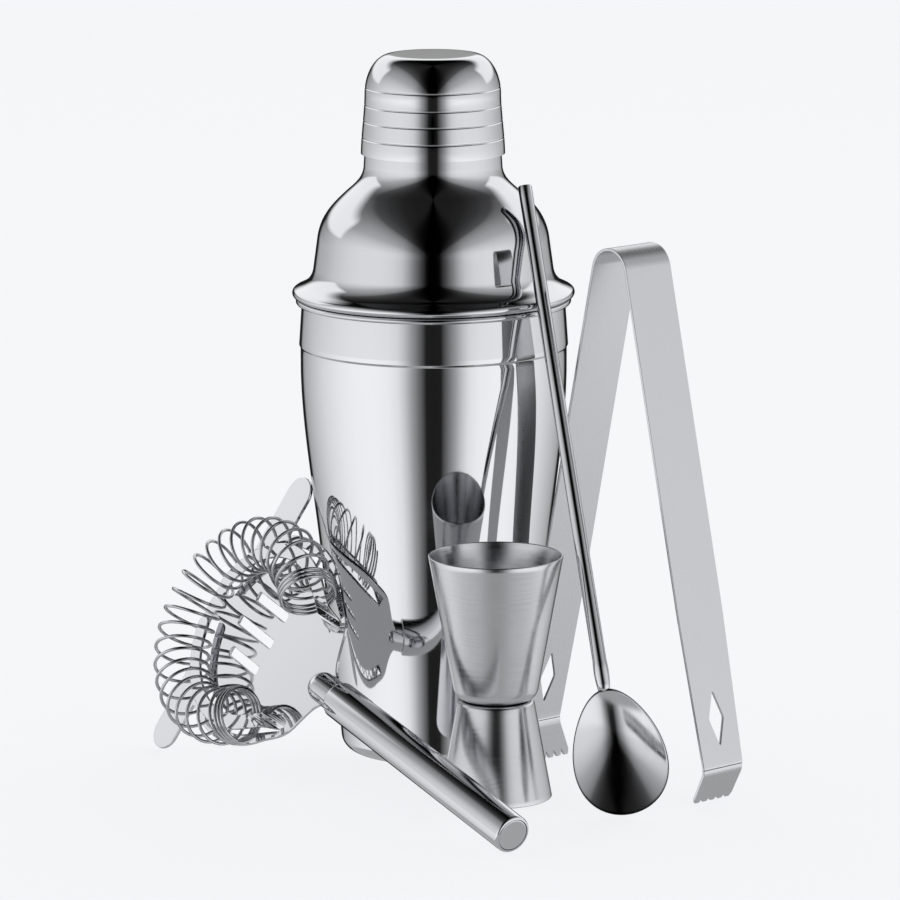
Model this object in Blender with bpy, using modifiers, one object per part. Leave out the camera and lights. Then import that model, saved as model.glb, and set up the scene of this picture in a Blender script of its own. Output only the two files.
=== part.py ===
"""A cocktail shaker set in stainless steel: shaker, spring strainer, jigger, bar spoon and tongs.

The set stands as it is sold, with the small tools leaning on the three-piece shaker. The origin is
the centre of the shaker's base, +Z is up and -Y is the front. Sizes below are in millimetres.
"""

import math

import bmesh
import bpy
from mathutils import Matrix, Vector

MM = 0.001
FIT = 0.3                # gap between pieces that touch
STEPS = 32               # facets round a turned piece

# Shaker
SHEET = 0.7              # wall of the drawn sheet
BASE_R = 31.0            # body radius just above the base corner
BASE_CORNER = 5.0
WAIST_Z = 65.0           # where the straight taper ends
WAIST_R = 37.3
WAIST_PULL = (2.1, 21.0)  # how the curve leaves the waist, out and up
SHOULDER_Z = 127.0       # where the body is widest
SHOULDER_R = 43.6
SHOULDER_PULL = (0.4, 21.0)
BAND_Z = 135.5           # foot of the wider band that takes the top's skirt
BAND_STEP = 0.45
BAND_EASE = 0.7          # height of the step's slope
BAND_TAPER = 0.9         # how much the band closes in towards the lip
LIP_Z = 151.0            # top of the rolled lip
LIP_H = 1.9
LIP_OUT = 1.9            # how far the lip stands out of the band

FLANGE_OVER = 3.05       # how far the top's flange reaches over the band
FLANGE_H = 3.0
SKIRT_H = 12.0
HIP = (1.0, 0.6)         # where the flange's round edge ends: in from its middle, and over it
HIP_PULL = (2.5, 1.2)    # how the flange runs in from there
DOME_FLARE = (0.3, 3.0)  # how the dome's foot flares onto the flange, out and down
SKIRT_TOP = 2.0          # where the skirt's inner side meets the dome's, above the lip
DOME_IN = 3.25           # from the mouth's inner radius in to the dome's foot
DOME_FOOT_UP = 9.8       # dome foot above the lip
DOME_LEAN = 1.2          # how much the dome closes in before its shoulder
DOME_UP = 18.5           # where the shoulder starts to turn in
TURN_IN = 9.4            # from the dome's side in to where its shoulder meets the neck's fillet
TURN_UP = 34.4
TURN_PULL = (4.8, 4.4)   # how the shoulder leaves that turn, out and down
DOME_PULL = (0.7, 7.5)
FILLET_PULL = (0.433, 2.4)  # share of the way in to the neck, and up
NECK_R = 22.6
NECK_FOOT_UP = 43.5
NECK_H = 16.0            # from the neck's foot up to the sieve
NECK_TAPER = 0.9         # how much the neck closes in towards the sieve
NECK_PULL = 4.5
SIEVE_CORNER = 1.6
SIEVE_HOLE = 3.0
SIEVE_PITCH = 6.2
SIEVE_RINGS = 2

CAP_SHEET = 0.6
CAP_FOOT_UP = 3.7        # cap's lower edge above the neck's foot
CAP_H = 32.3
CAP_TAPER = 1.3          # how much the wall closes in towards the rounded top edge
CAP_CORNER = 8.5         # how far the rounded edge reaches in
CAP_CORNER_H = 13.0      # and how far it comes down
CAP_WALL_PULL = 5.0
CAP_GROOVES_UP = (5.2, 10.7, 15.9, 21.6)  # above the cap's lower edge
CAP_GROOVE_DEPTH = 0.2
CAP_GROOVE_HALF = 0.3    # half of a groove's width

# Hawthorne strainer, drawn flat: X to the handle, Y along the ears, Z out of its spring side
PLATE_LEANS_Z = 89.0     # height at which its upper ear leans on the body
PLATE_OUT = 17.67        # from the body's radius there to the plate's centre
PLATE_ROUND = 197.81     # degrees round from +X
PLATE_UP = 40.1
HANDLE_WAY = (0.510, -0.833, -0.215)
FACE_WAY = (-0.706, -0.548, 0.448)
PLATE_R = 36.2
PLATE_T = 1.2
TAB_CORNER = (35.0, 17.2)
TAB_END = (44.4, 4.6)
TAB_HOLLOW = (3.6, 6.7)  # the side between those two: out from the corner, and off the middle
TAB_ROUND = 50.0         # degrees from the handle at which the round rim starts
EAR_X = -22.8
EAR_W = 12.2
EAR_REACH = 51.1
SLOT_W = 3.2
SLOT_PITCH = 10.0
SLOT_BACK = 4.7          # end of the slots nearest the handle
SLOT_LENGTHS = (18.0, 22.0, 19.5)
SLOT_CORNER = 0.9
WIRE = 1.1
COIL_R = 8.9             # middle of the wire
COIL_RING_R = 29.6       # the arc that the coil follows
COIL_ARC = 119.0         # degrees of that arc from the front to each side
COIL_RUN = 8.2           # straight stretch after the arc, at each end
OPEN_TURNS = 23
CLOSED_TURNS = 3
CLOSED_STEP = 1.6        # along the path in one closed turn
POINTS_A_TURN = 10
FINGER_W = 5.0
FINGER_T = 1.0
FINGER_UP = 4.2
FINGER_TIP = 6.5         # along the coil's path from its front
FINGER_OUT = 2.5         # how far past the coil's end a finger stays up
FINGER_DROP = 6.0        # and the length in which it comes down to the plate
FINGER_IN = (1.5, 0.3)   # how its root runs into the plate: along, and its height at the edge
FINGER_NOSE = 0.55       # share of its width left at the tip
ROD_R = 5.1
ROD_SINK = 0.95          # how far the rod's underside is below the plate's middle
HANDLE_DIP = 3.4         # degrees by which the handle drops away from the spring's side
ROD_START = 35.4
ROD_IN_TUBE = 16.0
TUBE_START = 49.5
TUBE_END = 149.4
TUBE_WALL = 0.75
TUBE_EDGE = 0.9
TUBE_LIP = 0.02          # flat left between the rounded edge and the bore
PLUG_H = 6.0
PLUG_EDGE = 0.4

# Jigger
JIGGER_GAP = 1.85        # from its mouth to the flange
JIGGER_ROUND = -73.55
JIGGER_SHEET = 0.7
LARGE_R = 21.5
LARGE_FOOT_R = 12.6
LARGE_H = 47.0
LARGE_CORNER = 4.5
LARGE_CORNER_OUT = 1.1   # how far that corner stands out at the foot
SMALL_R = 17.85
SMALL_TOP_R = 12.4
SMALL_H = 31.6
SMALL_CORNER = 1.2
SMALL_RISE = 10          # degrees of the corner left off where it meets the slanting wall

# Bar spoon, from where its rod meets its bowl up to where the rod leans on the flange
SPOON_OUT = 52.1         # from the flange to the rod's foot
SPOON_BY = 7.1           # room between the jigger's mouth and the rod's foot, going round
SPOON_UP = 38.6
LEAN_BY = 2.932          # the same room where the rod leans on the flange
SPOON_R = 2.25
SPOON_ROD = 166.5
SPOON_EDGE = 0.5
BOWL_WAY = (0.215, -0.310, -0.926)
BOWL_FACE = (-0.05, -0.943, 0.305)
BOWL_EGG = 0.22          # how much narrower the bowl is at the rod than at its tip
BOWL_L = 40.6
BOWL_W = 29.4
BOWL_DEEP = 6.0
BOWL_SHEET = 1.0

# Tongs: X across the spread, Y across the strip
TONGS_OUT = 33.75        # from the body's widest radius to the middle of the tongs
TONGS_BY = 8.04          # degrees round from where the rod leans to the tongs
TONGS_TURN = -48.2       # degrees about +Z
STRIP_T = 1.0
STRIP_W = 19.6
STRIP_TIP_W = 16.6
STRIP_WAIST_Z = 62.0     # the strip narrows below this
BOW_R = 7.6
BOW_TOP_Z = 174.2
BEND_X = 43.05
BEND_Z = 10.8
TIP_IN = 5.5
TEETH = 5
TOOTH_H = 2.0
TOOTH_FOOT = 0.18        # share of a tooth's pitch from its root to where it starts
TOOTH_SIDE = 0.14        # and the share that each side of it slants over
DIAMOND_Z = 28.5
DIAMOND_H = 18.0
DIAMOND_W = 6.4

COIL_BEND = COIL_RING_R * math.radians(COIL_ARC)  # length of the arc on each side
COIL_END = COIL_BEND + COIL_RUN
FINGER_ROOT = COIL_END + FINGER_OUT + FINGER_DROP
MOUTH_R = SHOULDER_R + BAND_STEP - BAND_TAPER
LIP_IN_R = MOUTH_R - SHEET
SHAKER_TOP_Z = LIP_Z + FIT
FLANGE_R = MOUTH_R + FLANGE_OVER
DOME_FOOT_R = LIP_IN_R - DOME_IN
DOME_R = DOME_FOOT_R - DOME_LEAN
TURN_R = DOME_R - TURN_IN
CAP_FOOT_R = NECK_R + FIT + CAP_SHEET
CAP_TOP_R = CAP_FOOT_R - CAP_TAPER
ROD_UP = ROD_R - ROD_SINK     # height of the handle's axis over the plate's centre
TUBE_R = ROD_R + FIT + TUBE_WALL
SPOON_ROUND = JIGGER_ROUND + math.degrees((LARGE_R + SPOON_BY) / (FLANGE_R + SPOON_OUT))
LEAN_ROUND = JIGGER_ROUND + math.degrees((LARGE_R + LEAN_BY) / FLANGE_R)
TONGS_ROUND = LEAN_ROUND + TONGS_BY


def round_axis(degrees, radius, up=0.0):
    """A point this far round from +X about the shaker's axis."""
    angle = math.radians(degrees)
    return Vector((radius * math.cos(angle), radius * math.sin(angle), up))


def clear_scene():
    for obj in list(bpy.data.objects):
        bpy.data.objects.remove(obj)


def collection(name):
    made = bpy.data.collections.new(name)
    bpy.context.scene.collection.children.link(made)
    return made


def steel(name, grey, roughness):
    made = bpy.data.materials.new(name)
    made.use_nodes = True
    shader = made.node_tree.nodes["Principled BSDF"]
    shader.inputs["Base Color"].default_value = (grey, grey, grey * 1.01, 1)
    shader.inputs["Metallic"].default_value = 1.0
    shader.inputs["Roughness"].default_value = roughness
    made.diffuse_color = (grey, grey, grey, 1)
    return made


def add(name, mesh, material, group, parent=None):
    obj = bpy.data.objects.new(name, mesh)
    group.objects.link(obj)
    obj.parent = parent
    if material:
        mesh.materials.append(material)
    return obj


def helper(name, matrix):
    made = bpy.data.objects.new(name, None)
    PARTS.objects.link(made)
    made.matrix_world = matrix
    return made


def at(point):
    return Matrix.Translation(Vector(point) * MM)


def facing(point, z_way, y_way):
    """A frame at a point, its Z along z_way and its Y as near y_way as it can be."""
    z = Vector(z_way).normalized()
    x = Vector(y_way).cross(z).normalized()
    y = z.cross(x)
    turn = Matrix((x, y, z)).transposed().to_4x4()
    return at(point) @ turn


# Outlines: lists of (across, up)

def arc(centre, radius, start, end, count):
    angles = [math.radians(start + (end - start) * i / (count - 1)) for i in range(count)]
    return [(centre[0] + radius * math.cos(a), centre[1] + radius * math.sin(a)) for a in angles]


def bezier(points, count, skip_first=True):
    a, b, c, d = points
    found = []
    for i in range(int(skip_first), count):
        t = i / (count - 1)
        w = ((1 - t) ** 3, 3 * t * (1 - t) ** 2, 3 * t * t * (1 - t), t ** 3)
        found.append(tuple(sum(k * p[axis] for k, p in zip(w, (a, b, c, d))) for axis in (0, 1)))
    return found


def offset(path, distance):
    """The path moved to its right by the distance, each point along its mean normal."""
    moved = []
    for i, point in enumerate(path):
        before = Vector(path[max(i - 1, 0)])
        after = Vector(path[min(i + 1, len(path) - 1)])
        along = (after - before).normalized()
        moved.append((point[0] + along.y * distance, point[1] - along.x * distance))
    return moved


def radius_at(side, z):
    for (r1, z1), (r2, z2) in zip(side, side[1:]):
        if z2 <= z <= z1:
            return r1 + (r2 - r1) * (z1 - z) / (z1 - z2)
    return side[-1][0]


def turned(name, profile, material, parent=None, steps=STEPS):
    """A turned solid: the profile starts and ends on the axis and runs down its outer side."""
    mesh = bpy.data.meshes.new(name)
    points = [(r * MM, 0, z * MM) for r, z in profile]
    mesh.from_pydata(points, [(i, i + 1) for i in range(len(points) - 1)], [])
    obj = add(name, mesh, material, PARTS, parent)
    screw = obj.modifiers.new("turn", "SCREW")
    screw.steps = screw.render_steps = steps
    screw.use_merge_vertices = True
    screw.merge_threshold = 0.00001
    screw.use_smooth_shade = True
    return obj


def flat(name, outline, thickness, group, material=None, holes=()):
    """A flat outline extruded by half the thickness each way, as a closed mesh."""
    curve = bpy.data.curves.new(name, "CURVE")
    curve.dimensions = "2D"
    curve.fill_mode = "BOTH"
    curve.extrude = thickness / 2 * MM
    for loop in (outline, *holes):
        spline = curve.splines.new("POLY")
        spline.points.add(len(loop) - 1)
        for point, (x, y) in zip(spline.points, loop):
            point.co = (x * MM, y * MM, 0, 1)
        spline.use_cyclic_u = True
    source = bpy.data.objects.new(name, curve)
    group.objects.link(source)
    return as_mesh(source, name, group, material)


def as_mesh(source, name, group, material):
    """The curve's solid as a mesh with its caps welded, in the curve's place."""
    bpy.context.view_layer.update()
    graph = bpy.context.evaluated_depsgraph_get()
    mesh = bpy.data.meshes.new_from_object(source.evaluated_get(graph))
    place = source.matrix_world.copy()
    bpy.data.objects.remove(source)
    work = bmesh.new()
    work.from_mesh(mesh)
    bmesh.ops.remove_doubles(work, verts=work.verts, dist=0.000001)
    bmesh.ops.recalc_face_normals(work, faces=work.faces)
    work.to_mesh(mesh)
    work.free()
    obj = add(name, mesh, material, group)
    obj.matrix_world = place
    return obj


def combine(obj, other, operation):
    """Cuts, joins or keeps what is common, with a cutter that is left out of the model."""
    change = obj.modifiers.new(other.name, "BOOLEAN")
    change.operation = operation
    change.object = other
    other.hide_render = True
    other.display_type = "WIRE"


def place(obj, parent, matrix=None):
    obj.parent = parent
    obj.matrix_local = matrix or Matrix()


# The shaker

def body_path():
    """The tumbler's outer side, from the foot of the band down to the axis."""
    body = [(SHOULDER_R, BAND_Z - BAND_EASE)]
    body += bezier(((SHOULDER_R, SHOULDER_Z),
                    (SHOULDER_R - SHOULDER_PULL[0], SHOULDER_Z - SHOULDER_PULL[1]),
                    (WAIST_R + WAIST_PULL[0], WAIST_Z + WAIST_PULL[1]), (WAIST_R, WAIST_Z)), 8, False)
    body += arc((BASE_R - BASE_CORNER, BASE_CORNER), BASE_CORNER, 0, -90, 5)
    return body


def make_tumbler():
    lip = arc((MOUTH_R + LIP_OUT - LIP_H / 2, LIP_Z - LIP_H / 2), LIP_H / 2, 90, -90, 5)
    band = [(MOUTH_R, LIP_Z - LIP_H), (SHOULDER_R + BAND_STEP, BAND_Z)]
    body = body_path()
    inside = offset(band + body, SHEET)[1:]
    inner = [(0, SHEET)] + inside[::-1] + [(LIP_IN_R, LIP_Z)]
    outer = lip + band + body + [(0, 0)]
    turned("tumbler", inner + outer, POLISHED)


def dome_path():
    """The strainer top's outer side, from the sieve's edge down to the dome's foot."""
    neck_foot = SHAKER_TOP_Z + NECK_FOOT_UP
    sieve_z = neck_foot + NECK_H
    turn = (TURN_R, SHAKER_TOP_Z + TURN_UP)
    dome = (DOME_R, SHAKER_TOP_Z + DOME_UP)
    corner = (NECK_R - NECK_TAPER - SIEVE_CORNER, sieve_z - SIEVE_CORNER)
    path = arc(corner, SIEVE_CORNER, 90, 0, 4)
    ease = FILLET_PULL[0] * (TURN_R - NECK_R)
    path += bezier(((NECK_R, neck_foot), (NECK_R, neck_foot - NECK_PULL),
                    (turn[0] - ease, turn[1] + FILLET_PULL[1]), turn), 7, False)
    path += bezier((turn, (turn[0] + TURN_PULL[0], turn[1] - TURN_PULL[1]),
                    (dome[0] - DOME_PULL[0], dome[1] + DOME_PULL[1]), dome), 7)
    path.append((DOME_FOOT_R, SHAKER_TOP_Z + DOME_FOOT_UP))
    return path


def make_strainer_top():
    outer = dome_path()
    skirt_r = LIP_IN_R - FIT
    inner = offset(outer, SHEET)
    edge = FLANGE_H / 2
    foot = outer[-1]
    hip = (FLANGE_R - edge - HIP[0], SHAKER_TOP_Z + FLANGE_H + HIP[1])
    flange = bezier((foot, (foot[0] + DOME_FLARE[0], foot[1] - DOME_FLARE[1]),
                     (hip[0] - HIP_PULL[0], hip[1] + HIP_PULL[1]), hip), 5)
    flange += arc((FLANGE_R - edge, SHAKER_TOP_Z + edge), edge, 60, -90, 6)
    skirt_low = SHAKER_TOP_Z - SKIRT_H
    skirt = [(skirt_r, SHAKER_TOP_Z), (skirt_r, skirt_low), (skirt_r - SHEET, skirt_low)]
    skirt.append((skirt_r - SHEET, SHAKER_TOP_Z + SKIRT_TOP))
    top_z = outer[0][1]
    profile = [(0, top_z)] + outer + flange + skirt + inner[::-1] + [(0, top_z - SHEET)]
    top = turned("strainer_top", profile, POLISHED)
    combine(top, sieve_holes(top_z), "DIFFERENCE")


def sieve_holes(top_z):
    """One cutter with every hole of the sieve: a middle one and rings of six more each time."""
    work = bmesh.new()
    spots = [(0, 0)]
    for ring in range(1, SIEVE_RINGS + 1):
        count = 6 * ring
        turn = [math.tau * i / count for i in range(count)]
        spots += [(ring * SIEVE_PITCH * math.cos(a), ring * SIEVE_PITCH * math.sin(a)) for a in turn]
    for x, y in spots:
        bmesh.ops.create_cone(work, cap_ends=True, segments=8, radius1=SIEVE_HOLE / 2 * MM,
                              radius2=SIEVE_HOLE / 2 * MM, depth=4 * SHEET * MM, matrix=at((x, y, top_z)))
    mesh = bpy.data.meshes.new("sieve_holes")
    work.to_mesh(mesh)
    work.free()
    return add("sieve_holes", mesh, None, CUTTERS)


def make_cap():
    foot = SHAKER_TOP_Z + NECK_FOOT_UP + CAP_FOOT_UP
    wall_top = foot + CAP_H - CAP_CORNER_H
    wall = bezier(((CAP_TOP_R, wall_top), (CAP_TOP_R, wall_top - CAP_WALL_PULL),
                   (CAP_FOOT_R, foot + CAP_WALL_PULL), (CAP_FOOT_R, foot)), 5, False)
    # A quarter ellipse, taller than it is wide
    corner = [(CAP_TOP_R - CAP_CORNER + r, wall_top + z * CAP_CORNER_H / CAP_CORNER)
              for r, z in arc((0, 0), CAP_CORNER, 90, 0, 7)]
    side = corner + wall[1:]
    inner = offset(side, CAP_SHEET)
    outer = grooved(side, foot)
    profile = [(0, foot + CAP_H)] + outer + inner[::-1] + [(0, foot + CAP_H - CAP_SHEET)]
    turned("cap", profile, POLISHED)


def grooved(side, foot):
    """The cap's outer side with its engraved lines, each a shallow V."""
    path = list(side)
    for up in CAP_GROOVES_UP:
        for rise, depth in ((-CAP_GROOVE_HALF, 0), (0, CAP_GROOVE_DEPTH), (CAP_GROOVE_HALF, 0)):
            z = foot + up + rise
            path.append((radius_at(side, z) - depth, z))
    return sorted(path, key=lambda point: -point[1])


# The Hawthorne strainer

def on_path(run, out=0.0):
    """A point by the coil's path, this far along it from the front towards the +Y ear."""
    turn = min(abs(run), COIL_BEND) / COIL_RING_R
    over = max(abs(run) - COIL_BEND, 0.0)
    radius = COIL_RING_R + out
    x = over * math.sin(turn) - radius * math.cos(turn)
    y = over * math.cos(turn) + radius * math.sin(turn)
    return (x, math.copysign(y, run))


def bent_slot(side):
    """The slot that a finger was pressed out of: a bent band round the finger with a round tip."""
    half = FINGER_W / 2 + FIT
    count = 14
    runs = [FINGER_TIP + (FINGER_ROOT - FINGER_TIP) * i / (count - 1) for i in range(count)]
    outer = [on_path(side * run, half) for run in runs]
    inner = [on_path(side * run, -half) for run in runs]
    return outer + inner[::-1] + [on_path(side * (FINGER_TIP - half))]


def straight_slot(row, length):
    corner = SLOT_CORNER
    start, end = SLOT_BACK - length + corner, SLOT_BACK - corner
    rise = SLOT_W / 2 - corner
    y = row * SLOT_PITCH
    return (arc((end, y - rise), corner, -90, 0, 3) + arc((end, y + rise), corner, 0, 90, 3)
            + arc((start, y + rise), corner, 90, 180, 3) + arc((start, y - rise), corner, 180, 270, 3))


def plate_outline():
    """Half of the plate from the handle to the front, and its mirror image."""
    ear_in = math.sqrt(PLATE_R ** 2 - (EAR_X + EAR_W / 2) ** 2)
    ear_out = math.sqrt(PLATE_R ** 2 - (EAR_X - EAR_W / 2) ** 2)
    ear_right = math.degrees(math.atan2(ear_in, EAR_X + EAR_W / 2))
    ear_left = math.degrees(math.atan2(ear_out, EAR_X - EAR_W / 2))
    half = [TAB_END, (TAB_CORNER[0] + TAB_HOLLOW[0], TAB_HOLLOW[1]), TAB_CORNER]
    half += arc((0, 0), PLATE_R, TAB_ROUND, ear_right, 6)
    half += arc((EAR_X, EAR_REACH - EAR_W / 2), EAR_W / 2, 0, 180, 9)
    half += arc((0, 0), PLATE_R, ear_left, 180 - 4, 5)  # its mirror image closes the last 8 degrees
    return half + [(x, -y) for x, y in half[::-1]]


def finger(work, side):
    """A strip that rises from the plate at its root and follows the arc inside the coil."""
    bend = COIL_END + FINGER_OUT
    stations = [(FINGER_ROOT + FINGER_IN[0], 0), (FINGER_ROOT, FINGER_IN[1]), (bend, FINGER_UP)]
    count = 12
    for i in range(1, count):
        stations.append((bend - (bend - FINGER_TIP) * i / (count - 1), FINGER_UP))
    rings = []
    for run, up in stations:
        half = FINGER_W / 2 * (FINGER_NOSE if run == FINGER_TIP else 1.0)
        corners = []
        for across, height in ((-1, -1), (1, -1), (1, 1), (-1, 1)):
            x, y = on_path(side * run, across * half)
            corners.append(work.verts.new((x * MM, y * MM, (up + height * FINGER_T / 2) * MM)))
        rings.append(corners)
    for low, high in zip(rings, rings[1:]):
        for i in range(4):
            work.faces.new((low[i], low[(i + 1) % 4], high[(i + 1) % 4], high[i]))
    work.faces.new(rings[0])
    work.faces.new(rings[-1])


def make_fingers():
    work = bmesh.new()
    for side in (-1, 1):
        finger(work, side)
    bmesh.ops.recalc_face_normals(work, faces=work.faces)
    mesh = bpy.data.meshes.new("fingers")
    work.to_mesh(mesh)
    work.free()
    return add("fingers", mesh, None, CUTTERS, STRAINER)


def make_plate():
    slots = [straight_slot(row, length) for row, length in zip((-1, 0, 1), SLOT_LENGTHS)]
    slots += [bent_slot(side) for side in (-1, 1)]
    plate = flat("hawthorne_plate", plate_outline(), PLATE_T, PARTS, POLISHED, slots)
    place(plate, STRAINER)
    combine(plate, make_fingers(), "UNION")


def coil_turns():
    """For each point of the coil, how far along its path it is and how far round its own turn."""
    closed = CLOSED_TURNS * CLOSED_STEP
    open_step = 2 * (COIL_END - closed) / OPEN_TURNS
    total = OPEN_TURNS + 2 * CLOSED_TURNS
    for i in range(total * POINTS_A_TURN + 1):
        turn = i / POINTS_A_TURN
        if turn <= CLOSED_TURNS:
            along = -COIL_END + turn * CLOSED_STEP
        elif turn >= total - CLOSED_TURNS:
            along = COIL_END - (total - turn) * CLOSED_STEP
        else:
            along = -COIL_END + closed + (turn - CLOSED_TURNS) * open_step
        yield along, turn * math.tau


def make_spring():
    lift = PLATE_T / 2 + FIT + WIRE / 2 + COIL_R
    curve = bpy.data.curves.new("hawthorne_spring", "CURVE")
    curve.dimensions = "3D"
    curve.bevel_depth = WIRE / 2 * MM
    curve.bevel_resolution = 2
    curve.use_fill_caps = True
    spline = curve.splines.new("POLY")
    points = []
    for along, spin in coil_turns():
        x, y = on_path(along, COIL_R * math.cos(spin))
        points.append((x * MM, y * MM, (lift + COIL_R * math.sin(spin)) * MM, 1))
    spline.points.add(len(points) - 1)
    for point, co in zip(spline.points, points):
        point.co = co
    spring = bpy.data.objects.new("hawthorne_spring", curve)
    PARTS.objects.link(spring)
    curve.materials.append(POLISHED)
    spring.parent = STRAINER


def make_handle():
    along = Matrix.Rotation(math.radians(90 + HANDLE_DIP), 4, "Y")
    axis = at((0, 0, ROD_UP)) @ along
    dome = arc((0, ROD_START + ROD_R), ROD_R, -90, 0, 6)
    rod_end = TUBE_START + ROD_IN_TUBE
    profile = [(0, rod_end), (ROD_R, rod_end)] + dome[::-1]
    profile[-1] = (0, ROD_START)
    rod = turned("hawthorne_rod", profile, POLISHED, steps=20)
    place(rod, STRAINER, axis)
    ahead, over, side = ROD_START - ROD_R, TAB_END[0] + FIT, 2 * ROD_R
    seat = flat("rod_slot", [(ahead, -side), (over, -side), (over, side), (ahead, side)],
                PLATE_T + 2 * FIT, CUTTERS)
    place(seat, STRAINER)
    combine(rod, seat, "DIFFERENCE")

    bore = ROD_R + FIT
    top = arc((TUBE_R - TUBE_EDGE, TUBE_END - TUBE_EDGE), TUBE_EDGE, 90, 0, 3)
    low = arc((TUBE_R - TUBE_EDGE, TUBE_START + TUBE_EDGE), TUBE_EDGE, 0, -90, 3)
    wall = [(max(r, bore + TUBE_LIP), z) for r, z in top + low]
    tube = turned("hawthorne_handle", wall + [(bore, TUBE_START), (bore, TUBE_END), wall[0]],
                  POLISHED, steps=20)
    place(tube, STRAINER, axis)
    plug_low = TUBE_END - PLUG_H
    plug = turned("hawthorne_plug", [(0, TUBE_END), (ROD_R - PLUG_EDGE, TUBE_END),
                                     (ROD_R, TUBE_END - PLUG_EDGE), (ROD_R, plug_low),
                                     (0, plug_low)], POLISHED, steps=20)
    place(plug, STRAINER, axis)


# The jigger

def make_jigger():
    low = SMALL_H + FIT
    rise = math.degrees(math.atan2(LARGE_R - LARGE_FOOT_R, LARGE_H))
    outer = [(LARGE_R, low + LARGE_H)]
    outer += arc((LARGE_FOOT_R + LARGE_CORNER_OUT - LARGE_CORNER, low + LARGE_CORNER), LARGE_CORNER,
                 -rise, -90, 5)
    inner = offset(outer, JIGGER_SHEET)[::-1]
    inner[-1] = (LARGE_R - JIGGER_SHEET, low + LARGE_H)
    profile = [(0, low + JIGGER_SHEET)] + inner + outer + [(0, low)]
    place(turned("jigger_large_cup", profile, BRUSHED), JIGGER)

    corner = arc((SMALL_TOP_R - SMALL_CORNER, SMALL_H - SMALL_CORNER), SMALL_CORNER,
                 90, SMALL_RISE, 4)
    outer = corner + [(SMALL_R, 0)]
    inner = offset(outer, JIGGER_SHEET)[::-1]
    inner[0] = (SMALL_R - JIGGER_SHEET, 0)
    profile = [(0, SMALL_H)] + outer + inner + [(0, SMALL_H - JIGGER_SHEET)]
    place(turned("jigger_small_cup", profile, BRUSHED), JIGGER)


# The bar spoon

def make_spoon():
    low = 2 * FIT
    profile = [(0, SPOON_ROD), (SPOON_R - SPOON_EDGE, SPOON_ROD), (SPOON_R, SPOON_ROD - SPOON_EDGE),
               (SPOON_R, low + SPOON_EDGE), (SPOON_R - SPOON_EDGE, low), (0, low)]
    place(turned("spoon_rod", profile, POLISHED, steps=16), SPOON_AXIS)
    spokes, rings = 28, 5
    mesh = bpy.data.meshes.new("spoon_bowl")
    points, faces = [], []
    for ring in range(1, rings + 1):
        for spoke in range(spokes):
            points.append(bowl_point(ring / rings, math.tau * spoke / spokes))
    for ring in range(rings - 1):
        for spoke in range(spokes):
            nxt = (spoke + 1) % spokes
            low, high = ring * spokes, (ring + 1) * spokes
            faces.append((low + spoke, high + spoke, high + nxt, low + nxt))
    faces.append(tuple(range(spokes)))
    mesh.from_pydata(points, [], faces)
    mesh.shade_smooth()
    bowl = add("spoon_bowl", mesh, POLISHED, PARTS)
    place(bowl, SPOON_BOWL)
    shell = bowl.modifiers.new("sheet", "SOLIDIFY")
    shell.thickness = BOWL_SHEET * MM
    shell.offset = 0


def bowl_point(reach, angle):
    """A point of the bowl's middle surface: an egg outline, narrow at the rod, with a round dish."""
    along = -BOWL_L / 2 * (1 - math.cos(angle) * reach)
    wide = BOWL_W / 2 * (1 - BOWL_EGG * math.cos(angle))
    across = wide * math.sin(angle) * reach
    return (across * MM, BOWL_DEEP * (1 - reach * reach) * MM, along * MM)


# The tongs

def arm_slope():
    """Degrees by which each open arm leans out, so that it leaves the bow without a kink."""
    drop = BOW_TOP_Z - BOW_R - BEND_Z
    reach = math.hypot(BEND_X, drop)
    return math.degrees(math.acos(BOW_R / reach) - math.atan2(drop, BEND_X))


def strip(path):
    """The side outline of a bent strip, between two offsets of its path."""
    return offset(path, STRIP_T / 2) + offset(path, -STRIP_T / 2)[::-1]


def make_tongs():
    slope = arm_slope()
    centre = (0, BOW_TOP_Z - BOW_R)
    lean = arc(centre, BOW_R, slope, 180 - slope, 13)
    bow = flat("tongs_bow", strip(lean), STRIP_W, PARTS, BRUSHED)
    upright = Matrix.Rotation(math.radians(90), 4, "X")
    place(bow, TONGS, upright)
    hinge = (lean[0][0], lean[0][1])
    for name, side in (("tongs_right_arm", 1), ("tongs_left_arm", -1)):
        make_arm(name, side, hinge, upright)


def make_arm(name, side, hinge, upright):
    """An arm hinged where the bow ends, its origin on that line."""
    down = Vector((BEND_X - hinge[0], BEND_Z - hinge[1])).normalized() * FIT
    path = [(hinge[0] + down.x, hinge[1] + down.y), (BEND_X, BEND_Z), (BEND_X - TIP_IN, 0)]
    path = [(side * (x - hinge[0]), z - hinge[1]) for x, z in path]
    arm = flat(name, strip(path), STRIP_W, PARTS, BRUSHED)
    here = Matrix.Translation(Vector((side * hinge[0], 0, hinge[1])) * MM)
    place(arm, TONGS, here @ upright)
    front = flat(name + "_front", front_outline(-hinge[1]), 4 * BEND_X, CUTTERS, None,
                 [diamond(-hinge[1])])
    place(front, TONGS, here @ Matrix.Rotation(math.radians(90), 4, "Z") @ upright)
    combine(arm, front, "INTERSECT")


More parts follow.
